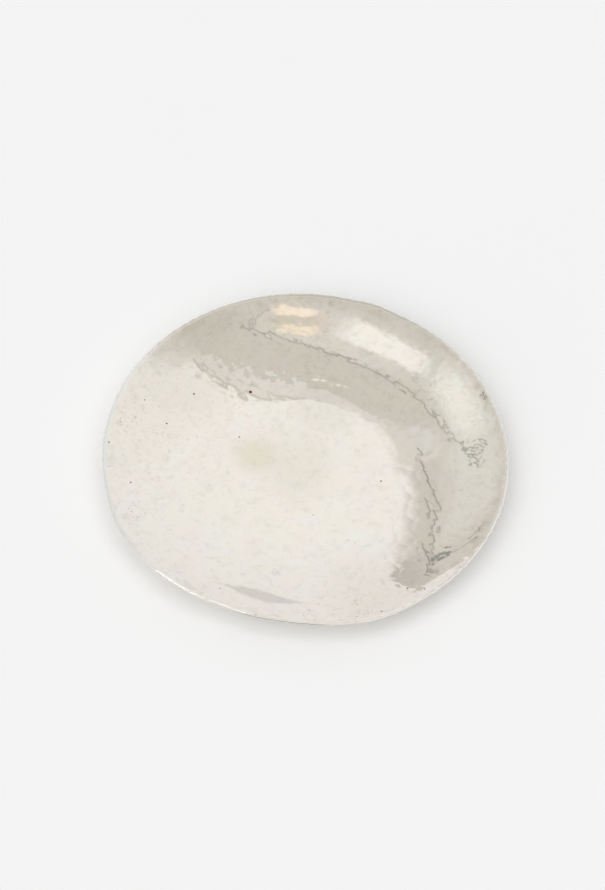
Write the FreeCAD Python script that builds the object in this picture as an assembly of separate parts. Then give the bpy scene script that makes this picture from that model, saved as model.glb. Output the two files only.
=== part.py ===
"""A hand-hammered silver paten: a shallow round altar plate that holds the bread.

It is made from three pieces, all turned about the Z axis:
    dish         one disc of sheet, sunk to a flat well with a rim that rises in one even curve
    edge_wire    a round wire run once round the cut edge of the sheet, to thicken and stiffen it
    solder_seam  the hard solder that joins the two, with a small fillet above and below the sheet

The origin is the centre of the flat underside, on the surface that the plate stands on. +Z is up.
Lengths are in millimetres and angles in degrees.
"""

import FreeCAD
import Part

import math
import os

# Driving dimensions
OUTER_DIAMETER = 150.0  # over the edge wire
SHEET_THICKNESS = 0.9
WELL_RADIUS = 24.0  # the flat that the plate stands on
RIM_SLOPE = 23.0  # of the rim at its edge, above the horizontal
WIRE_DIAMETER = 1.3
WIRE_FACES = 12  # the arcs that the wire's round outline is drawn with, end to end
SOLDER_GAP = 0.12  # the film of solder between the edge of the sheet and the wire
FILLET_REACH = 0.45  # how far each solder fillet runs in over the sheet
FILLET_CLIMB = 30.0  # how far round the wire each fillet climbs from the film

SLOPE = math.radians(RIM_SLOPE)
WIRE_RADIUS = WIRE_DIAMETER / 2
HALF_SHEET = SHEET_THICKNESS / 2

# The wire is flattened where it meets the film, over the height of the sheet's edge.
WIRE_SETBACK = math.sqrt(WIRE_RADIUS**2 - HALF_SHEET**2)  # from the flat to the wire's centre
WIRE_OFFSET = SOLDER_GAP + WIRE_SETBACK  # from the sheet's edge to the wire's centre
WIRE_CENTRE_RADIUS = OUTER_DIAMETER / 2 - WIRE_RADIUS

# The rim's section is one arc, tangent to the well, about a centre above the well's edge.
# MEAN_ARC is the radius to the middle of the sheet. The wire's centre lies on the tangent at its end.
MEAN_ARC = (WIRE_CENTRE_RADIUS - WELL_RADIUS - WIRE_OFFSET * math.cos(SLOPE)) / math.sin(SLOPE)
UPPER_ARC = MEAN_ARC - HALF_SHEET
LOWER_ARC = MEAN_ARC + HALF_SHEET
ARC_CENTRE_Z = SHEET_THICKNESS + UPPER_ARC

# Angles on the wire's outline, in radians, counted from straight out along the slope
FLAT_ANGLE = math.pi - math.asin(HALF_SHEET / WIRE_RADIUS)  # where the wire's round meets its flat
CLIMB_ANGLE = FLAT_ANGLE - math.radians(FILLET_CLIMB)  # where a fillet ends on the wire


def point(radius, height):
    """A point of the section, which lies in the XZ plane."""
    return FreeCAD.Vector(radius, 0, height)


def on_rim(arc_radius, slope):
    """The point of the rim's section on an arc of that radius, where the arc has that slope."""
    radius = WELL_RADIUS + arc_radius * math.sin(slope)
    return point(radius, ARC_CENTRE_Z - arc_radius * math.cos(slope))


def at_edge(outward, above):
    """A point so far out from the sheet's edge, and so far above the sheet's middle, along the slope."""
    middle = on_rim(MEAN_ARC, SLOPE)
    return point(
        middle.x + outward * math.cos(SLOPE) - above * math.sin(SLOPE),
        middle.z + outward * math.sin(SLOPE) + above * math.cos(SLOPE),
    )


def on_wire(angle):
    """A point on the wire's outline."""
    return at_edge(WIRE_OFFSET + WIRE_RADIUS * math.cos(angle), WIRE_RADIUS * math.sin(angle))


def line(start, end):
    return Part.LineSegment(start, end).toShape()


def arc_between(place, start, end):
    """The arc from place(start) to place(end), where place gives the point at an angle."""
    return Part.Arc(place(start), place((start + end) / 2), place(end)).toShape()


def upper_face(slope):
    return on_rim(UPPER_ARC, slope)


def under_face(slope):
    return on_rim(LOWER_ARC, slope)


def turned(edges):
    """The ring or disc that a closed section sweeps in one turn about Z."""
    face = Part.Face(Part.Wire(edges))
    return face.revolve(FreeCAD.Vector(0, 0, 0), FreeCAD.Vector(0, 0, 1), 360)


def make_dish():
    """The sheet: a flat well and a rim of one thickness, ending square to its slope."""
    top_middle = point(0, SHEET_THICKNESS)
    under_middle = point(0, 0)
    return turned(
        [
            line(under_middle, top_middle),
            line(top_middle, upper_face(0)),
            arc_between(upper_face, 0, SLOPE),
            line(upper_face(SLOPE), under_face(SLOPE)),
            arc_between(under_face, SLOPE, 0),
            line(under_face(0), under_middle),
        ]
    )


def make_edge_wire():
    """The edge wire: round, with a flat against the film of solder."""
    step = 2 * FLAT_ANGLE / WIRE_FACES
    outline = [line(on_wire(-FLAT_ANGLE), on_wire(FLAT_ANGLE))]
    for index in range(WIRE_FACES):
        start = FLAT_ANGLE - index * step
        outline.append(arc_between(on_wire, start, start - step))
    return turned(outline)


def make_solder_seam():
    """The solder: a film across the sheet's edge, and a flat-faced fillet on each side of the sheet."""
    upper_start = SLOPE - FILLET_REACH / UPPER_ARC
    under_start = SLOPE - FILLET_REACH / LOWER_ARC
    return turned(
        [
            line(upper_face(upper_start), on_wire(CLIMB_ANGLE)),
            arc_between(on_wire, CLIMB_ANGLE, FLAT_ANGLE),
            line(on_wire(FLAT_ANGLE), on_wire(-FLAT_ANGLE)),
            arc_between(on_wire, -FLAT_ANGLE, -CLIMB_ANGLE),
            line(on_wire(-CLIMB_ANGLE), under_face(under_start)),
            arc_between(under_face, under_start, SLOPE),
            line(under_face(SLOPE), upper_face(SLOPE)),
            arc_between(upper_face, SLOPE, upper_start),
        ]
    )


PIECES = {
    "dish": make_dish,
    "edge_wire": make_edge_wire,
    "solder_seam": make_solder_seam,
}


def main():
    os.makedirs("parts", exist_ok=True)
    for node, make in PIECES.items():
        shape = make()
        print(f"{node}: {shape.ShapeType}, valid {shape.isValid()}, volume {shape.Volume:.2f} mm3")
        shape.exportStep(f"parts/{node}.step")
    print(f"rim arc {UPPER_ARC:.2f} inside, {LOWER_ARC:.2f} outside")
    print(f"sheet's edge at radius {upper_face(SLOPE).x:.2f}, height {upper_face(SLOPE).z:.2f}")
    print(f"wire's centre at radius {WIRE_CENTRE_RADIUS:.2f}, height {at_edge(WIRE_OFFSET, 0).z:.2f}")


main()
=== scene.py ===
"""The looks of a hand-hammered silver paten, and the plain studio that it lies in.

The frame gives the plate's size. Each of its three pieces is remade here as the hammer left it:
    paten_dish         the sheet, dented on both faces by rings of planishing blows
    paten_edge_wire    the wire round the rim, planished level with the sheet and rounded over outside
    paten_solder_seam  the solder that joins them, with an uneven edge

Lengths are in metres, with +Z up. The camera looks along +Y, with +X to its right.
A bearing is an angle about Z in degrees, anticlockwise from +X, so the camera is at bearing -90.
"""

import math

import bpy
import numpy as np
from mathutils import Matrix, Vector


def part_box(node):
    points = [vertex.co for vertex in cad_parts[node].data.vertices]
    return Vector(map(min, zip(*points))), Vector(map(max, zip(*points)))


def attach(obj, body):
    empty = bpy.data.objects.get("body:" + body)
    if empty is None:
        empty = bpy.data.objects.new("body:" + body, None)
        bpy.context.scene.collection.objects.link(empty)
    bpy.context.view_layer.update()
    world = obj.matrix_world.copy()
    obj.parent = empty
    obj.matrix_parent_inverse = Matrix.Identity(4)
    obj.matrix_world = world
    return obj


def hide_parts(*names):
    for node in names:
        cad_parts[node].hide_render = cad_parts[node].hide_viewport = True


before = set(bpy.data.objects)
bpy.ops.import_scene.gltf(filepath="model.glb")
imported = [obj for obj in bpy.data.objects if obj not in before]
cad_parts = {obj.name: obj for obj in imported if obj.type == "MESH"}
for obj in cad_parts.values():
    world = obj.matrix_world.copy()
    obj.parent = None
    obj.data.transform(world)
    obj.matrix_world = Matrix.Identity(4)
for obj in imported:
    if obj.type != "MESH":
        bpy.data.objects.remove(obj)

MM = 0.001
TURN = 2 * math.pi

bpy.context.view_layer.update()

# ---------------------------------------------------------------- the plate's section

SHEET = 0.9 * MM
SOLDER_FILM = 0.12 * MM
WELL_RADIUS = 24 * MM
RIM_SLOPE = math.radians(23)

dish_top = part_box("dish")[1].z
wire_low, wire_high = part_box("edge_wire")

UPPER_ARC = (dish_top - SHEET) / (1 - math.cos(RIM_SLOPE))  # the rim's arc, on its upper face
LOWER_ARC = UPPER_ARC + SHEET
UPPER_REACH = WELL_RADIUS + UPPER_ARC * RIM_SLOPE  # from the middle to the sheet's edge, over the face
LOWER_REACH = WELL_RADIUS + LOWER_ARC * RIM_SLOPE
OUTER_RADIUS = wire_high.x
WIRE_RADIUS = (wire_high.z - wire_low.z) / 2
WIRE_RING = OUTER_RADIUS - WIRE_RADIUS  # from the axis to the wire's centre
WIRE_HEIGHT = (wire_high.z + wire_low.z) / 2
WIRE_BACK = -math.sqrt(WIRE_RADIUS**2 - (SHEET / 2) ** 2)  # the wire's flat, out from its centre
SHEET_EDGE = WIRE_BACK - SOLDER_FILM  # the sheet's edge, out from the wire's centre


def face_section(reach, arc, well_height):
    """Radius, height and slope of a face of the sheet, at a distance over that face from the middle.

    arc is the radius of the rim's arc on that face, and well_height is the face's height in the well.
    """
    slope = np.maximum(reach - WELL_RADIUS, 0) / arc
    radius = np.minimum(reach, WELL_RADIUS) + arc * np.sin(slope)
    height = well_height + arc * (1 - np.cos(slope))
    return radius, height, slope


# ---------------------------------------------------------------- unevenness of the rim


def lobe(angle, bearing, width):
    """1 at a bearing, falling smoothly to nothing by about twice that width in degrees to each side."""
    return np.exp(2 * (np.cos(angle - math.radians(bearing)) - 1) / math.radians(width) ** 2)


def ring_noise(seed, waves, size):
    """A smooth random function of the angle round the plate, made of the given numbers of waves."""
    rng = np.random.default_rng(seed)
    phases = rng.uniform(0, TURN, len(waves))
    weights = rng.normal(size=len(waves)) * size * math.sqrt(2 / len(waves))

    def noise(angle):
        total = np.zeros_like(angle)
        for wave, phase, weight in zip(waves, phases, weights):
            total += weight * np.cos(wave * angle + phase)
        return total

    return noise


OUTLINE_REACH = ring_noise(31, (2, 3, 4, 5, 7), 0.10 * MM)
OUTLINE_HEIGHT = ring_noise(32, (2, 3, 4, 5), 0.10 * MM)
OUTLINE_SWELLS = (  # bearing, width in degrees, and how far the rim stands out there
    (-96, 17, -2.2 * MM),
    (-112, 6, -1.0 * MM),
    (-67, 9, 0.9 * MM),
    (-132, 5, 0.8 * MM),
    (-148, 10, 1.6 * MM),
    (72, 5, 0.5 * MM),
)
SCALLOP_REACH = ring_noise(33, range(46, 120, 5), 0.08 * MM)  # the small waves along the edge
SCALLOP_HEIGHT = ring_noise(34, range(41, 110, 6), 0.06 * MM)
NICKS = (58, 97, 171, -20, -38, -71, -128)  # bearings
NICK_WIDTH = 0.35
NICK_DEPTH = 0.16 * MM
OUTLINE_FADE = 6  # powers of the share of the outer radius: the higher, the closer to the edge it stays
HEIGHT_FADE = 4
SCALLOP_FADE = 40
NICK_FADE = 400


def unevenness(angle):
    """How uneven the edge is: most at the right, where the plate has had the hardest wear."""
    return 0.35 + 0.65 * lobe(angle, -10, 50)


def placed(radius, height, angle):
    """Points of the plate, with the rim's unevenness, which every piece shares.

    A rim that stands out or in follows the slope, as if the sheet had been cut a little out of round.
    """
    out = radius / OUTER_RADIUS
    shift = OUTLINE_REACH(angle)
    for bearing, width, reach in OUTLINE_SWELLS:
        shift = shift + reach * lobe(angle, bearing, width)
    scallops = unevenness(angle) * out**SCALLOP_FADE
    shift = shift * out**OUTLINE_FADE + SCALLOP_REACH(angle) * scallops
    for bearing in NICKS:
        shift = shift - NICK_DEPTH * lobe(angle, bearing, NICK_WIDTH) * out**NICK_FADE
    rise = np.clip((radius - WELL_RADIUS) / LOWER_ARC, 0, None)
    height = height + shift * rise / np.sqrt(1 - rise**2)
    height = height + OUTLINE_HEIGHT(angle) * out**HEIGHT_FADE + SCALLOP_HEIGHT(angle) * scallops
    radius = radius + shift
    return np.stack([radius * np.cos(angle), radius * np.sin(angle), height], axis=-1)


# ---------------------------------------------------------------- hammer marks


def sheet_noise(seed, count, wavelength, size):
    """A smooth random function of place on the sheet, made of count waves of about that length."""
    rng = np.random.default_rng(seed)
    bearings = rng.uniform(0, TURN, count)
    lengths = wavelength * rng.uniform(0.7, 1.5, count)
    phases = rng.uniform(0, TURN, count)
    weight = size * math.sqrt(2 / count)

    def noise(x, y):
        total = np.zeros_like(x)
        for bearing, length, phase in zip(bearings, lengths, phases):
            along = x * math.cos(bearing) + y * math.sin(bearing)
            total += weight * np.cos(TURN * along / length + phase)
        return total

    return noise


PLACES_AT_ONCE = 4000  # this keeps the table of distances small


class Blows:
    """Round-faced hammer blows in rings about the middle.

    spacing_at(radius) is how far apart they fell. tilt is the slope at the side of the bowl that each
    left. ridge is the height over which two bowls blend, because planishing rounds the ridge between.
    jitter is how far each fell from its place, and unequal how much they differ in depth.
    """

    def __init__(self, seed, spacing_at, tilt, ridge, jitter=0.25, unequal=0.3):
        rng = np.random.default_rng(seed)
        rows = []
        radius = 0.0
        while radius < UPPER_REACH + 4 * MM:
            spacing = spacing_at(radius)
            count = max(round(TURN * radius / spacing), 1)
            angle = rng.uniform(0, TURN) + TURN * np.arange(count) / count
            rows.append(np.stack([radius * np.cos(angle), radius * np.sin(angle), angle * 0 + spacing]))
            radius += spacing
        x, y, spacing = np.hstack(rows)
        self.x = x + rng.normal(size=len(x)) * jitter * spacing
        self.y = y + rng.normal(size=len(x)) * jitter * spacing
        self.bowl_radius = spacing / (2 * tilt)
        self.standing = rng.normal(size=len(x)) * unequal * spacing * tilt / 4
        self.ridge = ridge

    def height(self, x, y):
        """Height of the dented face over the lowest of an even blow, at many places."""
        height = np.empty_like(x)
        for start in range(0, len(x), PLACES_AT_ONCE):
            part = slice(start, start + PLACES_AT_ONCE)
            apart = (x[part, None] - self.x) ** 2 + (y[part, None] - self.y) ** 2
            bowls = apart / (2 * self.bowl_radius) + self.standing
            lowest = bowls.min(axis=1)
            blend = np.exp((lowest[:, None] - bowls) / self.ridge).sum(axis=1)
            height[part] = lowest - self.ridge * np.log(blend)
        return height


def mark_spacing(radius):
    """The blows fell closer together towards the rim."""
    return np.interp(radius, (44 * MM, 60 * MM), (5.0 * MM, 3.0 * MM))


def fine_spacing(radius):
    """The light blows that followed are evenly close."""
    return 2.4 * MM


def under_spacing(radius):
    """The blows underneath fell evenly far apart."""
    return 6.2 * MM


MIDDLE_STRENGTH = 0.4


def mark_strength(x, y):
    """How deep the marks are, 1 being full depth: even in the middle, and out towards the rim most at the
    right and least at the front. A band at the back is deep too.
    """
    angle = np.arctan2(y, x)
    at_rim = 0.50 + 0.70 * lobe(angle, -10, 45) - 0.35 * lobe(angle, -100, 26)
    radius = np.hypot(x, y)
    out = np.clip(radius / (50 * MM), 0, 1)
    band = np.clip((radius - 33 * MM) / (7 * MM), 0, 1) * np.clip((67 * MM - radius) / (11 * MM), 0, 1)
    strength = MIDDLE_STRENGTH + (at_rim - MIDDLE_STRENGTH) * out**3
    return strength + 1.2 * lobe(angle, 112, 16) * band


def upper_lift():
    """The hammer marks on the face that is seen from above."""
    blows = Blows(11, mark_spacing, tilt=0.0100, ridge=0.0012 * MM)
    fine = Blows(12, fine_spacing, tilt=0.0022, ridge=0.0003 * MM)
    waves = sheet_noise(13, count=24, wavelength=34 * MM, size=0.012 * MM)

    def lift(x, y):
        return mark_strength(x, y) * (blows.height(x, y) + fine.height(x, y)) + waves(x, y)

    return lift


def under_lift():
    """The hammer marks underneath. They are dents, so nothing stands below the sheet's underside."""
    blows = Blows(21, under_spacing, tilt=0.026, ridge=0.005 * MM)

    def lift(x, y):
        marks = blows.height(x, y)
        return marks.max() - marks

    return lift


# ---------------------------------------------------------------- meshes


def stitched(inner, outer):
    """Triangles between two rings of vertices, each given as (first index, count)."""
    first_in, count_in = inner
    first_out, count_out = outer
    faces = []
    at_in = at_out = 0
    while at_in < count_in or at_out < count_out:
        here_in = first_in + at_in % count_in
        here_out = first_out + at_out % count_out
        outer_next = (at_out + 1) * count_in <= (at_in + 1) * count_out
        if at_out < count_out and (at_in == count_in or outer_next):
            faces.append((here_in, here_out, first_out + (at_out + 1) % count_out))
            at_out += 1
        else:
            faces.append((here_in, here_out, first_in + (at_in + 1) % count_in))
            at_in += 1
    return faces


SHARP = math.radians(40)  # edges that turn by more than this aren't shaded as if they were round


def new_piece(name, points, faces, node, material):
    """A smooth-shaded mesh that replaces a CAD node and takes its place on the plate."""
    mesh = bpy.data.meshes.new(name)
    mesh.from_pydata(points.tolist(), [], faces)
    mesh.validate()
    mesh.polygons.foreach_set("use_smooth", [True] * len(mesh.polygons))
    mesh.set_sharp_from_angle(angle=SHARP)
    mesh.materials.append(material)
    piece = bpy.data.objects.new(name, mesh)
    bpy.context.collection.objects.link(piece)
    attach(piece, "root")
    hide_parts(node)
    return piece


def keep_values(piece, name, values):
    """Keeps a number at each of the mesh's points, for the material to read."""
    piece.data.attributes.new(name, "FLOAT", "POINT").data.foreach_set("value", values)


UPPER_RINGS = 172
UNDER_RINGS = 40


def sheet_face(rings, reach, arc, well_height, lift, first):
    """Points and triangles of one face of the sheet, in rings about its middle, and its last ring.

    lift(x, y) raises it off its plain section. Each ring has 6 more points than the one inside it, and
    first is the index of the point in the middle.
    """
    counts = [1] + [6 * ring for ring in range(1, rings + 1)]
    distance = np.repeat(reach * np.arange(rings + 1) / rings, counts)
    angle = np.concatenate([TURN * np.arange(count) / count for count in counts])
    radius, height, slope = face_section(distance, arc, well_height)
    up = lift(distance * np.cos(angle), distance * np.sin(angle))
    points = placed(radius - up * np.sin(slope), height + up * np.cos(slope), angle)
    faces = []
    for inner, outer in zip(counts, counts[1:]):
        faces += stitched((first, inner), (first + inner, outer))
        first += inner
    faces = [face for face in faces if len(set(face)) == 3]  # without those flat at the middle point
    return points, faces, (first, counts[-1])


def make_dish(material):
    """The hammered sheet: a fine mesh on its upper face, a coarser one underneath, and a band between."""
    upper, faces, upper_edge = sheet_face(
        UPPER_RINGS, UPPER_REACH, UPPER_ARC, SHEET, upper_lift(), 0
    )
    under, under_faces, under_edge = sheet_face(
        UNDER_RINGS, LOWER_REACH, LOWER_ARC, 0.0, under_lift(), len(upper)
    )
    faces += [face[::-1] for face in under_faces]
    faces += stitched(upper_edge, under_edge)
    points = np.vstack([upper, under])
    piece = new_piece("paten_dish", points, faces, "dish", material)
    keep_values(piece, "upper", np.repeat([1.0, 0.0], [len(upper), len(under)]))


AROUND = 1440  # points round the rim
RING_ANGLE = TURN * np.arange(AROUND) / AROUND


def ring_piece(name, section, node, material):
    """A closed ring along the rim.

    section gives its corners, anticlockwise, each as how far it is out from the wire's centre along the
    rim's slope, and how far above it. Both may vary round the rim.
    """
    corners = []
    for outward, above in section:
        radius = WIRE_RING + outward * math.cos(RIM_SLOPE) - above * math.sin(RIM_SLOPE)
        height = WIRE_HEIGHT + outward * math.sin(RIM_SLOPE) + above * math.cos(RIM_SLOPE)
        corners.append(placed(radius + 0 * RING_ANGLE, height + 0 * RING_ANGLE, RING_ANGLE))
    points = np.stack(corners, axis=1).reshape(-1, 3)
    across = len(section)
    faces = []
    for ring in range(AROUND):
        here, there = ring * across, (ring + 1) % AROUND * across
        for index in range(across):
            after = (index + 1) % across
            faces.append((here + index, there + index, there + after))
            faces.append((here + index, there + after, here + after))
    piece = new_piece(name, points, faces, node, material)
    heights = np.stack([above + 0 * RING_ANGLE for outward, above in section], axis=1)
    keep_values(piece, "above", heights.ravel())


WIRE_TOP = SHEET / 2 + 0.01 * MM  # above the wire's centre, across the rim's slope
WIRE_BOTTOM = -0.56 * MM
WIRE_CORNER = 0.03 * MM  # at the top and the bottom of the wire's flat
WIRE_NOSE = 0.97 * WIRE_RADIUS  # how far its outer side is out from its centre
QUARTER_STEPS = 7
SQUARE = 0.34  # 1 would leave the outer half of the wire oval, and 0 would leave it square


def make_edge_wire(material):
    """The wire. The hammer squared its outer side and left its upper side level with the sheet."""
    uneven = unevenness(RING_ANGLE)
    nose = WIRE_NOSE + uneven * ring_noise(43, range(60, 150, 7), 0.03 * MM)(RING_ANGLE)
    top = WIRE_TOP + uneven * ring_noise(41, range(104, 180, 5), 0.018 * MM)(RING_ANGLE)
    bottom = WIRE_BOTTOM + uneven * ring_noise(42, range(70, 140, 6), 0.03 * MM)(RING_ANGLE)
    square = SQUARE + 0.25 * lobe(RING_ANGLE, -25, 30)
    square = square + uneven * ring_noise(44, range(50, 150, 7), 0.15)(RING_ANGLE)
    square = np.clip(square, 0.2, 0.9)
    section = [(WIRE_BACK, -SHEET / 2 + WIRE_CORNER), (WIRE_BACK + WIRE_CORNER, -SHEET / 2)]
    for step in range(-QUARTER_STEPS, QUARTER_STEPS + 1):
        turn = math.pi / 2 * step / QUARTER_STEPS
        tall = top if step > 0 else bottom
        section.append((nose * math.cos(turn) ** square, tall * abs(math.sin(turn)) ** square))
    section += [(WIRE_BACK + WIRE_CORNER, SHEET / 2), (WIRE_BACK, SHEET / 2 - WIRE_CORNER)]
    ring_piece("paten_edge_wire", section, "edge_wire", material)


SMEAR_REACH = 0.12 * MM  # how far the solder runs in over the sheet, on average and at least
SMEAR_LEAST = 0.08 * MM
SMEAR_SWELL = 0.003 * MM  # above the sheet


def make_solder_seam(material):
    """The solder: a film across the sheet's edge, and a smear of uneven width over each of its faces."""
    sides = []
    for side, seed in ((1, 51), (-1, 52)):
        reach = SMEAR_REACH + ring_noise(seed, range(50, 170, 7), 0.07 * MM)(RING_ANGLE)
        reach = np.clip(reach, SMEAR_LEAST, None)
        swell = SMEAR_SWELL + ring_noise(seed + 2, range(40, 140, 9), 0.002 * MM)(RING_ANGLE)
        inner = (SHEET_EDGE - reach, side * (SHEET / 2 - 0.005 * MM))
        middle = (SHEET_EDGE - reach * 0.4, side * (SHEET / 2 + swell))
        outer = (WIRE_BACK + 0.06 * MM, side * (SHEET / 2 + swell))
        end = (WIRE_BACK + 0.10 * MM, side * (SHEET / 2 - 0.03 * MM))
        root = (SHEET_EDGE + 0.02 * MM, side * SHEET / 4)
        sides.append([end, outer, middle, inner, root])
    section = sides[0] + sides[1][::-1]
    ring_piece("paten_solder_seam", section, "solder_seam", material)


# ---------------------------------------------------------------- materials


class Nodes:
    """A short hand for building one material's node tree. Places, sizes and depths are in millimetres."""

    def __init__(self, name):
        self.material = bpy.data.materials.new(name)
        self.material.use_nodes = True
        self.tree = self.material.node_tree
        self.surface = self.tree.nodes["Principled BSDF"]
        self.place = self.tree.nodes.new("ShaderNodeTexCoord").outputs["Object"]
        self.only_on = None  # a socket that is 1 on the face that near() is meant for, and 0 off it

    def new(self, kind):
        return self.tree.nodes.new("ShaderNode" + kind)

    def link(self, source, target):
        self.tree.links.new(source, target)

    def noise(self, size, detail=3.0, roughness=0.55, distortion=0.0, stretch=(1, 1, 1), turn=0.0):
        """Noise with features of that size, stretched along the plate's axes, from 0 to 1."""
        mapping = self.new("Mapping")
        mapping.inputs["Scale"].default_value = stretch
        mapping.inputs["Rotation"].default_value = (0, 0, turn)
        self.link(self.place, mapping.inputs["Vector"])
        node = self.new("TexNoise")
        node.inputs["Scale"].default_value = 1 / (size * MM)
        node.inputs["Detail"].default_value = detail
        node.inputs["Roughness"].default_value = roughness
        node.inputs["Distortion"].default_value = distortion
        self.link(mapping.outputs["Vector"], node.inputs["Vector"])
        return node.outputs["Fac"]

    def patchy(self, size, start, end, most=1.0, detail=3.0, roughness=0.6, distortion=0.0, turn=0.0):
        """Patches of that size: 0 where the noise is under start, and most where it is over end."""
        return self.ramp(self.noise(size, detail, roughness, distortion, turn=turn), start, end, 0, most)

    def spots(self, spacing, radius, share):
        """1 inside round spots, scattered about spacing apart, of which only that share is kept."""
        node = self.new("TexVoronoi")
        node.inputs["Scale"].default_value = 1 / (spacing * MM)
        self.link(self.place, node.inputs["Vector"])
        inside = self.ramp(node.outputs["Distance"], 0.55 * radius / spacing, radius / spacing, 1, 0)
        keep = self.new("SeparateColor")
        self.link(node.outputs["Color"], keep.inputs["Color"])
        kept = self.ramp(keep.outputs["Red"], share, share + 0.01, 1, 0)
        return self.math("MULTIPLY", inside, kept)

    def flat_place(self):
        """Place on the plate, with its height left out."""
        flat = self.new("Mapping")
        flat.inputs["Scale"].default_value = (1, 1, 0)
        self.link(self.place, flat.inputs["Vector"])
        return flat.outputs["Vector"]

    def near(self, x, y, radius, share=1.0, soft=0.5):
        """share near one place on the plate, 0 beyond radius. soft is how much of the radius fades.

        It is 0 off the face that only_on marks, if that is set.
        """
        apart = self.new("VectorMath")
        apart.operation = "DISTANCE"
        self.link(self.flat_place(), apart.inputs[0])
        apart.inputs[1].default_value = (x * MM, y * MM, 0)
        whole, clear = radius * MM * (1 - soft), radius * MM
        inside = self.ramp(apart.outputs["Value"], whole, clear, share, 0)
        return inside if self.only_on is None else self.math("MULTIPLY", inside, self.only_on)

    def areas(self, places, soft):
        """near() at several places, each given as x, y, radius and perhaps share."""
        return [self.near(*place, soft=soft) for place in places]

    def from_axis(self):
        """Distance from the plate's axis, in metres."""
        length = self.new("VectorMath")
        length.operation = "LENGTH"
        self.link(self.flat_place(), length.inputs[0])
        return length.outputs["Value"]

    def along(self, axis):
        """Place along one of the object's axes, in metres."""
        apart = self.new("SeparateXYZ")
        self.link(self.place, apart.inputs["Vector"])
        return apart.outputs[axis]

    def attribute(self, name):
        """A number that the mesh keeps at each of its points."""
        node = self.new("Attribute")
        node.attribute_name = name
        return node.outputs["Fac"]

    def ramp(self, value, start, end, low=0.0, high=1.0):
        """The value, carried smoothly from low at start to high at end."""
        node = self.new("MapRange")
        node.interpolation_type = "SMOOTHSTEP"
        node.inputs["From Min"].default_value = start
        node.inputs["From Max"].default_value = end
        node.inputs["To Min"].default_value = low
        node.inputs["To Max"].default_value = high
        self.link(value, node.inputs["Value"])
        return node.outputs["Result"]

    def math(self, operation, first, second):
        """The result for two values, each a number or a socket."""
        node = self.new("Math")
        node.operation = operation
        for socket, value in zip(node.inputs, (first, second)):
            if isinstance(value, (int, float)):
                socket.default_value = value
            else:
                self.link(value, socket)
        return node.outputs["Value"]

    def most(self, values):
        """The highest of several values."""
        highest = values[0]
        for value in values[1:]:
            highest = self.math("MAXIMUM", highest, value)
        return highest

    def mix(self, share, first, second):
        """Colour first where share is 0, and second where it is 1. Each is a colour or a socket."""
        node = self.new("Mix")
        node.data_type = "RGBA"
        self.link(share, node.inputs["Factor"])
        for socket, colour in ((node.inputs[6], first), (node.inputs[7], second)):
            if isinstance(colour, tuple):
                socket.default_value = (*colour, 1.0)
            else:
                self.link(colour, socket)
        return node.outputs[2]

    def finish_metal(self, colour, roughness, relief, depth):
        """A metal surface, with a relief whose full height is depth. The first three are sockets."""
        bump = self.new("Bump")
        bump.inputs["Strength"].default_value = 1.0
        bump.inputs["Distance"].default_value = depth * MM
        self.link(relief, bump.inputs["Height"])
        self.link(bump.outputs["Normal"], self.surface.inputs["Normal"])
        self.link(colour, self.surface.inputs["Base Color"])
        self.link(roughness, self.surface.inputs["Roughness"])
        self.surface.inputs["Metallic"].default_value = 1.0
        return self.material


SILVER = (0.885, 0.836, 0.750)
SILVER_PINK = (0.887, 0.816, 0.755)
SILVER_GREEN = (0.868, 0.848, 0.776)
SILVER_COOL = (0.872, 0.834, 0.788)
SILVER_GREY = (0.795, 0.757, 0.678)
YELLOWED = (0.80, 0.74, 0.61)
PINKED = (0.860, 0.803, 0.733)
BLOOM = (0.62, 0.60, 0.53)
BROWNED = (0.66, 0.58, 0.52)
TARNISH = (0.10, 0.085, 0.075)
BLOTCH = (0.32, 0.33, 0.28)
RED_RUST = (0.11, 0.02, 0.022)
EDGE = (0.87, 0.825, 0.755)
EDGE_WORN = (0.895, 0.86, 0.80)
EDGE_GREY = (0.70, 0.71, 0.70)
EDGE_TARNISH = (0.69, 0.68, 0.60)
EDGE_SHADE = (0.30, 0.29, 0.26)
GRIME = (0.45, 0.42, 0.37)
SOLDER = (0.87, 0.83, 0.76)
SOLDER_DULL = (0.82, 0.785, 0.715)

# Marks on the upper face, as x, y, radius and perhaps share, for Nodes.areas(). Many of these places were
# picked in the photo and traced to the plate, which is left as an open fault. Many of these places were
# picked in the photo and traced to the plate by a scratch script.
PITS = (
    (-53, 13, 0.5), (-73, -1.5, 0.5), (-63.5, -17, 0.5), (-25.5, 11.5, 0.45), (28.5, -4.5, 0.5),
    (-44, 28, 0.55), (-62, 21, 0.4), (30, -66.5, 0.45), (39, -55, 0.5), (45, -56, 0.4),
    (-27.5, -60, 0.35),
)
SPECKLED = (
    (5, -23.5, 3.2), (18.5, -32, 3.2), (66, 31, 3.4), (40, -44, 2.2), (-60, -30, 4.0), (23, -65, 6.0),
    (6, -69, 4.0), (-69, 12, 6.0),
)
SMUDGES = (
    (-58, 33.5, 2.0), (-43, 36, 2.4), (-66, 21, 2.2), (-70, 8, 2.4), (67, 28, 2.4), (62, -28, 2.0),
    (-20, -51.5, 1.6), (-8, -49, 2.4), (-29, -46, 2.0), (23, -67, 3.0), (70.5, -6, 3.0), (71, -19, 2.6),
    (42, 6.5, 2.8), (66.5, -26, 2.8),
)
# Greyer patches: partly a duller polish, and partly painted shade that darkens the silver's reflection
# there.
DULLED_AND_SHADED = (
    (-54, 34, 34, 0.80), (6, 28, 18, 0.62), (-4, 0, 20, 0.50), (-38, 61, 14, 0.6), (28, -54, 24, 0.38),
    (-18, 4, 13, 0.60), (-40, -48, 26, -0.70), (48, 54, 16, 0.45),
)
YELLOW_STAINS = ((-19, 4, 11, 0.95), (-3, 0, 22, 0.28), (26, -56, 24, 0.22), (-67, 4, 26, 0.27))
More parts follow.
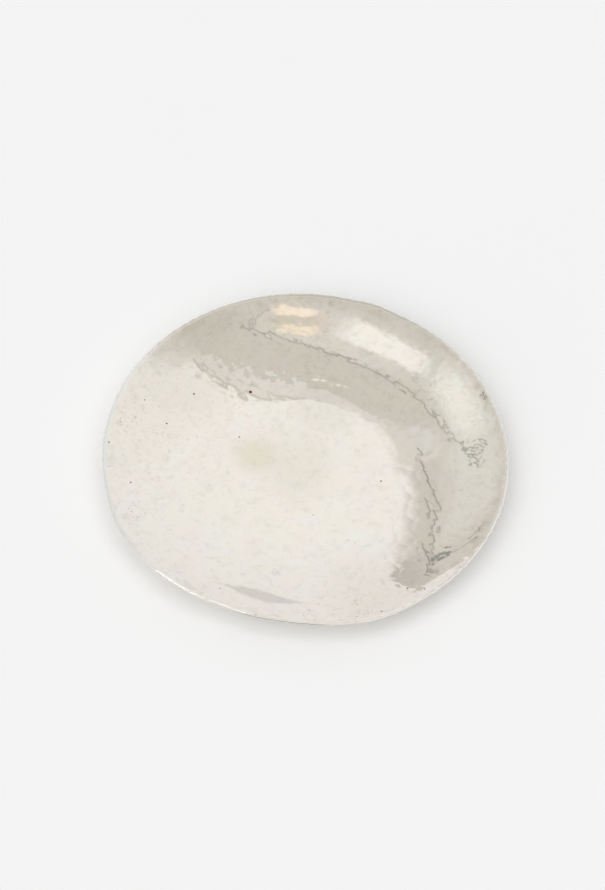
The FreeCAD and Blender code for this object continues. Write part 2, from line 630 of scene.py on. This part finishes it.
PINK_STAINS = ((56, -16, 24, 0.9), (73, 6, 14, 0.8), (70, -24, 12, 0.8))
PIT_DEPTH = 60.0  # how much deeper a pit is than a scratch


def silver_dish():
    """Polished silver that has been kept and handled: clouds, stains, bloom, pits and fine scratches."""
    nodes = Nodes("hammered silver")
    nodes.only_on = nodes.attribute("upper")

    # clouds in the polish, greyer patches that are partly painted shade, and stains
    pink = nodes.patchy(15, 0.46, 0.64, detail=4, distortion=0.6)
    pink = nodes.most([pink, nodes.near(-62, 15, 38, 0.95, soft=0.9), nodes.near(30, -50, 28, soft=0.8)])
    green = nodes.patchy(13, 0.52, 0.68, distortion=0.4, turn=0.8)
    cool = nodes.patchy(7, 0.50, 0.66, 0.8, distortion=0.5, turn=2.6)
    grey = nodes.patchy(5.5, 0.46, 0.74, 0.55, detail=4, roughness=0.62, distortion=0.7, turn=1.7)
    # these patches grey the silver: partly duller polish, partly painted shade on its reflection
    for area in nodes.areas(DULLED_AND_SHADED, 0.85):
        grey = nodes.math("ADD", grey, area)
    yellow = nodes.patchy(17, 0.64, 0.80, 0.4, detail=4, roughness=0.65, distortion=0.9, turn=2.0)
    yellow = nodes.most([yellow] + nodes.areas(YELLOW_STAINS, 0.9))
    colour = nodes.mix(pink, SILVER, SILVER_PINK)
    colour = nodes.mix(green, colour, SILVER_GREEN)
    colour = nodes.mix(cool, colour, SILVER_COOL)
    colour = nodes.mix(grey, colour, SILVER_GREY)
    colour = nodes.mix(yellow, colour, YELLOWED)
    colour = nodes.mix(nodes.most(nodes.areas(PINK_STAINS, 0.8)), colour, PINKED)

    # bloom, thickest over the back and left of the rim, and smudges
    away = nodes.near(8, -38, 88, soft=0.62)
    bloom = nodes.patchy(9, 0.46, 0.66, 0.9, turn=1.0)
    bloom = nodes.math("MULTIPLY", bloom, nodes.math("SUBTRACT", 1.15, away))
    bloom = nodes.math("MULTIPLY", bloom, nodes.patchy(2.2, 0.50, 0.68, 0.60, distortion=0.5))
    smudges = nodes.most(nodes.areas(SMUDGES, 0.8))
    smudges = nodes.math("MULTIPLY", smudges, nodes.patchy(1.5, 0.36, 0.60, 0.5))
    rim = nodes.ramp(nodes.from_axis(), 68 * MM, 72.5 * MM)
    rim = nodes.math("MULTIPLY", rim, nodes.patchy(4, 0.48, 0.66, 0.38, detail=2, roughness=0.5))
    soft_marks = nodes.patchy(2.8, 0.50, 0.72, 0.28, roughness=0.62, distortion=0.4, turn=0.4)
    colour = nodes.mix(nodes.most([bloom, smudges, rim, soft_marks]), colour, BLOOM)

    # brown specks at the left and front, pits, a blotch and a spot of rust
    side = nodes.most([nodes.near(-66, 14, 74, soft=0.85), nodes.near(5, -66, 40, 0.6, soft=0.8)])
    specks = nodes.math("MULTIPLY", nodes.patchy(2.1, 0.57, 0.76, 0.62, roughness=0.62), side)
    colour = nodes.mix(specks, colour, BROWNED)
    scattered = nodes.math("MULTIPLY", nodes.spots(3.4, 0.30, 0.24), 0.42)
    scattered = nodes.math("MULTIPLY", scattered, nodes.math("ADD", side, 0.12))
    cluster = nodes.math("MULTIPLY", nodes.most(nodes.areas(SPECKLED, 0.3)), nodes.spots(1.3, 0.36, 0.55))
    cluster = nodes.math("MULTIPLY", cluster, 0.55)
    marks = nodes.most(nodes.areas(PITS, 0.6) + [cluster, scattered])
    colour = nodes.mix(nodes.math("MULTIPLY", marks, 0.8), colour, TARNISH)
    mottle = nodes.ramp(nodes.noise(0.9, 2, 0.6), 0.38, 0.58, 0.15, 0.9)
    colour = nodes.mix(nodes.math("MULTIPLY", nodes.near(66.3, 31.5, 2.6), mottle), colour, BLOTCH)
    rust = nodes.near(-22.7, 32.3, 0.78)
    colour = nodes.mix(rust, colour, RED_RUST)

    haze = nodes.ramp(nodes.noise(9, 4, 0.6), 0.40, 0.70, 0.040, 0.065)
    roughness = nodes.math("ADD", haze, nodes.math("MULTIPLY", nodes.most([marks, rust]), 0.4))
    roughness = nodes.math("ADD", roughness, nodes.math("MULTIPLY", smudges, 0.2))
    along = nodes.noise(0.35, 2, 0.5, 0.2, (1, 0.03, 1), math.radians(25))
    across = nodes.noise(0.40, 2, 0.5, 0.2, (0.04, 1, 1), math.radians(-20))
    scratches = nodes.math("ADD", along, across)
    relief = nodes.math("SUBTRACT", scratches, nodes.math("MULTIPLY", marks, PIT_DEPTH))
    return nodes.finish_metal(colour, roughness, relief, 0.0001)


def silver_edge():
    """The wire's silver: brighter where hands rubbed it, greyer at the left, tarnished at the back, and
    darkened low at the front as painted shade.
    """
    nodes = Nodes("edge silver")
    colour = nodes.mix(nodes.patchy(7, 0.38, 0.66), EDGE, EDGE_WORN)
    grey = nodes.ramp(nodes.along("X"), -45 * MM, -70 * MM, 0, 0.45)
    colour = nodes.mix(grey, colour, EDGE_GREY)
    colour = nodes.mix(nodes.near(14, 72, 48, 0.75, soft=0.7), colour, EDGE_TARNISH)
    # painted shade: the lower side of the wire at the front is darkened, standing in for the shaded floor
    # under the plate that it would mirror
    low = nodes.ramp(nodes.attribute("above"), -0.16 * MM, -0.30 * MM)
    under = nodes.math("MULTIPLY", low, nodes.near(-5, -72, 19, soft=0.4))
    colour = nodes.mix(under, colour, EDGE_SHADE)
    colour = nodes.mix(nodes.patchy(2.2, 0.62, 0.76, 0.5, roughness=0.7), colour, GRIME)
    roughness = nodes.ramp(nodes.noise(3), 0.3, 0.7, 0.06, 0.11)
    return nodes.finish_metal(colour, roughness, nodes.noise(0.5, 3, 0.6), 0.0012)


def solder():
    """Hard solder, a little yellower and duller than the silver."""
    nodes = Nodes("hard solder")
    colour = nodes.mix(nodes.patchy(4, 0.35, 0.70), SOLDER, SOLDER_DULL)
    roughness = nodes.ramp(nodes.noise(1.5), 0.3, 0.7, 0.14, 0.26)
    return nodes.finish_metal(colour, roughness, nodes.noise(0.6, 3, 0.6), 0.003)


# ---------------------------------------------------------------- the studio


def studio_piece(name, mesh, material):
    """An object that belongs to the studio, not to the plate."""
    mesh.materials.append(material)
    panel = bpy.data.objects.new(name, mesh)
    bpy.context.collection.objects.link(panel)
    return panel


def flat_sheet(name, points, material):
    """A flat face that belongs to the studio."""
    mesh = bpy.data.meshes.new(name)
    mesh.from_pydata(points, [], [tuple(range(len(points)))])
    return studio_piece(name, mesh, material)


FLOOR_RADIUS = 12.0
FLOOR_CORNERS = 96
FLOOR_HEIGHT = -0.02 * MM
FLOOR_GLOW = 0.096


def make_floor():
    """A wide pale floor, just under the plate. It glows a little, as a lit table does."""
    nodes = Nodes("studio floor")
    grain = nodes.ramp(nodes.noise(400, 2), 0.3, 0.7)
    colour = nodes.mix(grain, (0.895, 0.895, 0.895), (0.905, 0.905, 0.905))
    nodes.link(colour, nodes.surface.inputs["Base Color"])
    nodes.surface.inputs["Roughness"].default_value = 0.9
    nodes.surface.inputs["Specular IOR Level"].default_value = 0.0
    nodes.surface.inputs["Emission Color"].default_value = (1.0, 1.0, 1.0, 1.0)
    nodes.surface.inputs["Emission Strength"].default_value = FLOOR_GLOW
    nodes.material.cycles.emission_sampling = "NONE"
    points = []
    for index in range(FLOOR_CORNERS):
        angle = TURN * index / FLOOR_CORNERS
        points.append((FLOOR_RADIUS * math.cos(angle), FLOOR_RADIUS * math.sin(angle), FLOOR_HEIGHT))
    flat_sheet("studio_floor", points, nodes.material)


CEILING = 2.0  # height of the cards over the plate


def glowing(name, colour, solid=None):
    """A material that glows. solid(nodes), if given, makes the socket that says how solid it is."""
    nodes = Nodes(name)
    nodes.material.cycles.emission_sampling = "NONE"
    glow = nodes.new("Emission")
    glow.inputs["Color"].default_value = (*colour, 1.0)
    shader = glow.outputs["Emission"]
    if solid is not None:
        blend = nodes.new("MixShader")
        nodes.link(solid(nodes), blend.inputs["Fac"])
        nodes.link(nodes.new("BsdfTransparent").outputs["BSDF"], blend.inputs[1])
        nodes.link(shader, blend.inputs[2])
        shader = blend.outputs["Shader"]
    nodes.tree.nodes.remove(nodes.surface)
    nodes.link(shader, nodes.tree.nodes["Material Output"].inputs["Surface"])
    return nodes.material


def hidden(panel):
    """Leaves a card to the silver's reflections: it doesn't show, or light or shade the floor."""
    panel.visible_camera = False
    panel.visible_diffuse = False
    panel.visible_shadow = False


def card(name, outline, colour, below):
    """A flat glowing card overhead.

    outline gives its corners as shares of the card's height, to the right and to the back. below is how
    far it hangs under the ceiling.
    """
    height = CEILING - below
    points = [(right * height, back * height, height) for right, back in outline]
    hidden(flat_sheet(name, points, glowing(name, colour)))


def soft_card(name, middle, size, turn, colour, below, soft):
    """A card with soft edges: an oblong about middle, turned anticlockwise in degrees.

    middle and size are shares of the card's height, and soft is the share of each half that fades.
    """
    height = CEILING - below
    half = [length * height / 2 for length in size]

    def solid(nodes):
        shares = []
        for axis, length in zip("XY", half):
            off = nodes.math("ABSOLUTE", nodes.along(axis), 0.0)
            shares.append(nodes.ramp(off, length, length * (1 - soft)))
        return nodes.math("MULTIPLY", *shares)

    corners = ((-1, -1), (1, -1), (1, 1), (-1, 1))
    points = [(right * half[0], back * half[1], 0) for right, back in corners]
    panel = flat_sheet(name, points, glowing(name, colour, solid))
    panel.location = (middle[0] * height, middle[1] * height, height)
    panel.rotation_euler = (0, 0, math.radians(turn))
    hidden(panel)


def veil(name, full, clear, colour, below):
    """A card between two paths of as many corners, which fades from the first to the second."""
    height = CEILING - below
    corners = [(right * height, back * height, height) for right, back in full + clear]
    across = len(full)
    faces = [(at, at + 1, across + at + 1, across + at) for at in range(across - 1)]
    mesh = bpy.data.meshes.new(name)
    mesh.from_pydata(corners, [], faces)
    shares = [1.0] * across + [0.0] * across
    mesh.attributes.new("share", "FLOAT", "POINT").data.foreach_set("value", shares)
    hidden(studio_piece(name, mesh, glowing(name, colour, lambda nodes: nodes.attribute("share"))))


def box_outline(x, y, wide, deep, turn):
    """The corners of an oblong about x, y, turned anticlockwise in degrees."""
    corners = []
    cos, sin = math.cos(math.radians(turn)), math.sin(math.radians(turn))
    for across, along in ((-1, -1), (1, -1), (1, 1), (-1, 1)):
        dx, dy = across * wide / 2, along * deep / 2
        corners.append((x + dx * cos - dy * sin, y + dx * sin + dy * cos))
    return corners


def ragged(path, pitch, depth, seed):
    """The path with saw teeth on its left, about as far apart as pitch and no deeper than depth."""
    rng = np.random.default_rng(seed)
    corners = [path[0]]
    for (x0, y0), (x1, y1) in zip(path, path[1:]):
        dx, dy = x1 - x0, y1 - y0
        run = math.hypot(dx, dy)
        teeth = max(round(run / pitch), 1)
        for tooth in range(teeth):
            out = depth * rng.uniform(0.2, 1.0) / run
            tip = (tooth + rng.uniform(0.0, 0.4)) / teeth
            end = (tooth + 1) / teeth
            corners.append((x0 + dx * tip - dy * out, y0 + dy * tip + dx * out))
            corners.append((x0 + dx * end, y0 + dy * end))
    return corners


def strip(name, path, width, colour, below):
    """A narrow card along a path, such as a cable or a joint between panels."""
    left, right = [], []
    for index, (x, y) in enumerate(path):
        before = path[max(index - 1, 0)]
        after = path[min(index + 1, len(path) - 1)]
        run = math.hypot(after[0] - before[0], after[1] - before[1])
        over = ((before[1] - after[1]) / run, (after[0] - before[0]) / run)
        left.append((x - over[0] * width / 2, y - over[1] * width / 2))
        right.append((x + over[0] * width / 2, y + over[1] * width / 2))
    card(name, left + right[::-1], colour, below)


# Paths and outlines for the cards, as shares of their height, to the right and to the back. Many of the
# points were picked in the photo's reflections and traced overhead, as the marks were to the plate.
CEILING_EDGE = [
    (0.80, -3.0), (0.62, -0.05), (0.42, 0.18), (0.23, 0.325), (0.07, 0.44), (0.0, 0.51),
    (-0.09, 0.60), (-0.19, 0.69), (-0.26, 0.90), (-0.345, 1.27), (-0.41, 1.70), (-0.52, 2.22),
    (-0.63, 2.36), (-0.66, 2.20), (-0.80, 2.04), (-1.2, 2.2), (-3.0, 4.0),
]
CEILING_FAR = [(-9.0, 9.0), (-9.0, -3.0)]
CEILING_FADED = [(-0.06, 0.60), (-0.135, 0.725), (-0.195, 0.96), (-0.255, 1.32), (-0.30, 1.75)]
CEILING_FRONT = [(0.9, -3.0), (0.62, -0.01), (-0.4, -0.03), (-9.0, -1.0), (-9.0, -3.0)]
END_EDGE = [(0.62, -0.04), (0.42, 0.17), (0.34, 0.22), (0.28, 0.28)]
END_FADED = [(0.88, 0.15), (0.62, 0.36), (0.455, 0.385), (0.36, 0.335)]
BORDER_START = (0.30, 0.27)
BORDER_EDGE = [(0.0, 0.60), (0.09, 0.51), (0.15, 0.43), (0.24, 0.37), (0.30, 0.32), (0.35, 0.28)]
CABLE_A = [(0.23, 0.10), (-0.05, 0.245), (-0.26, 0.41), (-0.37, 0.57), (-0.40, 0.605), (-0.44, 0.63)]
COIL = [
    (-0.44, 0.63), (-0.45, 0.67), (-0.52, 0.72), (-0.59, 0.735), (-0.605, 0.71), (-0.56, 0.67),
    (-0.52, 0.655), (-0.515, 0.69), (-0.485, 0.725), (-0.52, 0.76), (-0.575, 0.815), (-0.59, 0.785),
]
LOOP = [(0.18, 0.125), (0.20, 0.07), (0.155, 0.005)]
CABLE_B = [(-0.20, 0.64), (-0.27, 0.78), (-0.34, 0.96), (-0.40, 1.18), (-0.48, 1.46), (-0.55, 1.60)]
CABLE_B_ARM = [(-0.55, 1.60), (-0.68, 1.66), (-0.80, 1.50)]
CABLE_C = [(-0.37, 1.25), (-0.49, 1.56), (-0.56, 1.86), (-0.68, 2.03)]
BAND_FRONT = [(0.36, 0.02), (0.62, -0.03)]
FAR_OBJECT = [
    (0.35, 2.22), (0.22, 2.02), (0.12, 2.04), (-0.03, 2.25), (0.07, 2.36), (0.19, 2.46), (0.29, 2.40),
]
SIDE_EDGE = [
    (-0.30, 1.37), (-0.355, 1.52), (-0.315, 1.56), (-0.41, 1.78), (-0.335, 1.70), (-0.43, 1.97),
    (-0.61, 2.32),
]
SIDE_FADED = [
    (-0.46, 1.40), (-0.50, 1.50), (-0.53, 1.58), (-0.58, 1.72), (-0.60, 1.76), (-0.68, 2.00),
    (-0.65, 2.24),
]
FRONT_CARD = [
    (-1.10, -0.56), (-0.93, -0.83), (-0.44, -1.15), (-0.78, -2.06), (-1.72, -1.54), (-2.06, -1.04),
]

CEILING_GREY = (0.70, 0.69, 0.665)
CABLE_DARK = (0.30, 0.305, 0.29)
CABLE_GREY = (0.42, 0.42, 0.40)
GAP_LIGHT = (1.0, 1.03, 1.0)


def make_ceiling():
    """The grey ceiling to the left, with its soft pools of light, its paler border and the gaps in it."""
    card("ceiling", CEILING_EDGE + CEILING_FAR, CEILING_GREY, 0.0)
    veil("ceiling_fade", CEILING_EDGE[6:11], CEILING_FADED, CEILING_GREY, 0.005)
    card("ceiling_front", CEILING_FRONT, (0.68, 0.67, 0.63), 0.01)
    soft_card("pool", (-0.06, 0.14), (0.60, 0.34), -20, (0.79, 0.785, 0.76), 0.02, 0.5)
    soft_card("pool_far", (-0.58, 0.95), (0.55, 1.3), 10, (0.795, 0.81, 0.79), 0.02, 0.7)
    under_cables = CABLE_B[4::-2] + CABLE_A[3::-1]
    card("ceiling_band", CEILING_EDGE[2:10] + under_cables + BAND_FRONT, (0.69, 0.68, 0.645), 0.03)
    veil("ceiling_end", END_EDGE, END_FADED, (0.70, 0.69, 0.66), 0.035)
    border = ragged([BORDER_START] + CEILING_EDGE[3:7], 0.045, 0.05, 61)
    card("ceiling_border", border + BORDER_EDGE, (0.825, 0.82, 0.815), 0.04)
    strip("border_joint", BORDER_EDGE, 0.016, (0.66, 0.65, 0.62), 0.05)
    soft_card("pool_near", (-0.20, 0.62), (0.34, 0.18), 10, (0.785, 0.775, 0.765), 0.035, 0.6)
    card("gap_a", box_outline(-0.018, 0.436, 0.018, 0.021, -20), GAP_LIGHT, 0.06)
    card("gap_b", box_outline(-0.046, 0.456, 0.015, 0.019, -30), GAP_LIGHT, 0.06)


def make_lamps():
    """The soft box and the warm lamps under the ceiling, and a strong light at the front left."""
    soft_card("soft_box", (-0.215, 0.165), (0.37, 0.17), -32, (1.02, 1.035, 1.03), 0.05, 0.5)
    soft_card("soft_box_far", (-0.45, 0.41), (0.33, 0.66), 21, (0.945, 0.97, 0.945), 0.05, 0.85)
    soft_card("lamp_glow", (0.055, 0.065), (0.26, 0.24), -8, (0.74, 0.705, 0.64), 0.055, 0.7)
    soft_card("warm_lamp_a", (0.065, 0.01), (0.19, 0.07), -8, (1.06, 0.96, 0.86), 0.06, 0.6)
    soft_card("warm_lamp_b", (0.05, 0.12), (0.16, 0.065), -6, (1.04, 0.93, 0.80), 0.06, 0.6)
    card("front_card", FRONT_CARD, (6.0, 6.0, 5.9), 0.06)


def make_clutter():
    """The cables that hang from the ceiling, and other things about the room."""
    strip("cable_a", CABLE_A, 0.010, CABLE_GREY, 0.07)
    strip("cable_a_coil", COIL, 0.013, (0.38, 0.38, 0.37), 0.072)
    strip("cable_a_loop", LOOP, 0.008, (0.52, 0.52, 0.49), 0.07)
    strip("cable_b", CABLE_B, 0.010, CABLE_DARK, 0.07)
    strip("cable_b_arm", CABLE_B_ARM, 0.024, CABLE_DARK, 0.07)
    strip("cable_c", CABLE_C, 0.014, CABLE_DARK, 0.07)
    card("bracket", box_outline(-0.560, 1.60, 0.080, 0.13, 20), (0.32, 0.34, 0.33), 0.07)
    card("far_object", FAR_OBJECT, (0.73, 0.735, 0.745), 0.06)
    veil("side_object", SIDE_EDGE, SIDE_FADED, (0.60, 0.58, 0.575), 0.06)


WORLD = (  # sine of the elevation, and the pale walls' colour there
    (0.00, (0.913, 0.913, 0.913)),
    (0.17, (0.913, 0.913, 0.913)),
    (0.34, (0.905, 0.905, 0.925)),
    (0.52, (0.930, 0.945, 0.960)),
    (0.72, (0.960, 0.975, 0.985)),
    (0.86, (0.985, 0.985, 0.985)),
    (0.94, (0.995, 0.985, 0.985)),
)


def make_world():
    """Pale walls all round. They show in the silver, and the lights alone light the floor."""
    world = bpy.data.worlds.new("studio")
    world.use_nodes = True
    tree = world.node_tree
    place = tree.nodes.new("ShaderNodeTexCoord").outputs["Generated"]
    apart = tree.nodes.new("ShaderNodeSeparateXYZ")
    tree.links.new(place, apart.inputs["Vector"])
    ramp = tree.nodes.new("ShaderNodeValToRGB")
    tree.links.new(apart.outputs["Z"], ramp.inputs["Fac"])
    stops = ramp.color_ramp.elements
    while len(stops) < len(WORLD):
        stops.new(1.0)
    for stop, (height, colour) in zip(stops, WORLD):
        stop.position = height
        stop.color = (*colour, 1.0)
    tree.links.new(ramp.outputs["Color"], tree.nodes["Background"].inputs["Color"])
    world.cycles_visibility.diffuse = False
    bpy.context.scene.world = world


def make_light(name, toward, energy, spread):
    """A soft light from far away, as wide as spread in degrees. The silver doesn't mirror it."""
    light = bpy.data.lights.new(name, "SUN")
    light.energy = energy
    light.angle = math.radians(spread)
    lamp = bpy.data.objects.new(name, light)
    lamp.rotation_euler = Vector(toward).to_track_quat("Z", "Y").to_euler()
    lamp.visible_glossy = False
    bpy.context.collection.objects.link(lamp)


CAMERA_LENS = 85  # in millimetres
CAMERA_ELEVATION = math.radians(54.6)
CAMERA_ROLL = math.radians(3.7)
CAMERA_DISTANCE = 0.7775
AIM_RIGHT = -1.4 * MM  # of the point that the camera aims at, from the middle of the rim
AIM_UP = 2.3 * MM


def make_camera():
    """The camera looks down at the plate from the front, a little rolled."""
    data = bpy.data.cameras.new("camera")
    data.lens = CAMERA_LENS
    camera = bpy.data.objects.new("camera", data)
    back = Vector((0, -math.cos(CAMERA_ELEVATION), math.sin(CAMERA_ELEVATION)))
    level = Vector((1, 0, 0))
    over = back.cross(level)
    right = level * math.cos(CAMERA_ROLL) + over * math.sin(CAMERA_ROLL)
    up = over * math.cos(CAMERA_ROLL) - level * math.sin(CAMERA_ROLL)
    aim = Vector((0, 0, WIRE_HEIGHT)) + right * AIM_RIGHT + up * AIM_UP
    turned = Matrix((right, up, back)).transposed().to_4x4()
    camera.matrix_world = Matrix.Translation(aim + back * CAMERA_DISTANCE) @ turned
    bpy.context.collection.objects.link(camera)
    bpy.context.scene.camera = camera


make_camera()
make_world()
make_floor()
make_ceiling()
make_lamps()
make_clutter()
make_light("front", (0.0, -0.42, 0.91), energy=1.53, spread=85)
make_light("side", (-0.50, -0.65, 0.57), energy=1.04, spread=75)
make_light("back", (0.0, 0.7, 0.7), energy=1.165, spread=110)
make_dish(silver_dish())
make_edge_wire(silver_edge())
make_solder_seam(solder())

bpy.context.scene.view_settings.view_transform = "Standard"
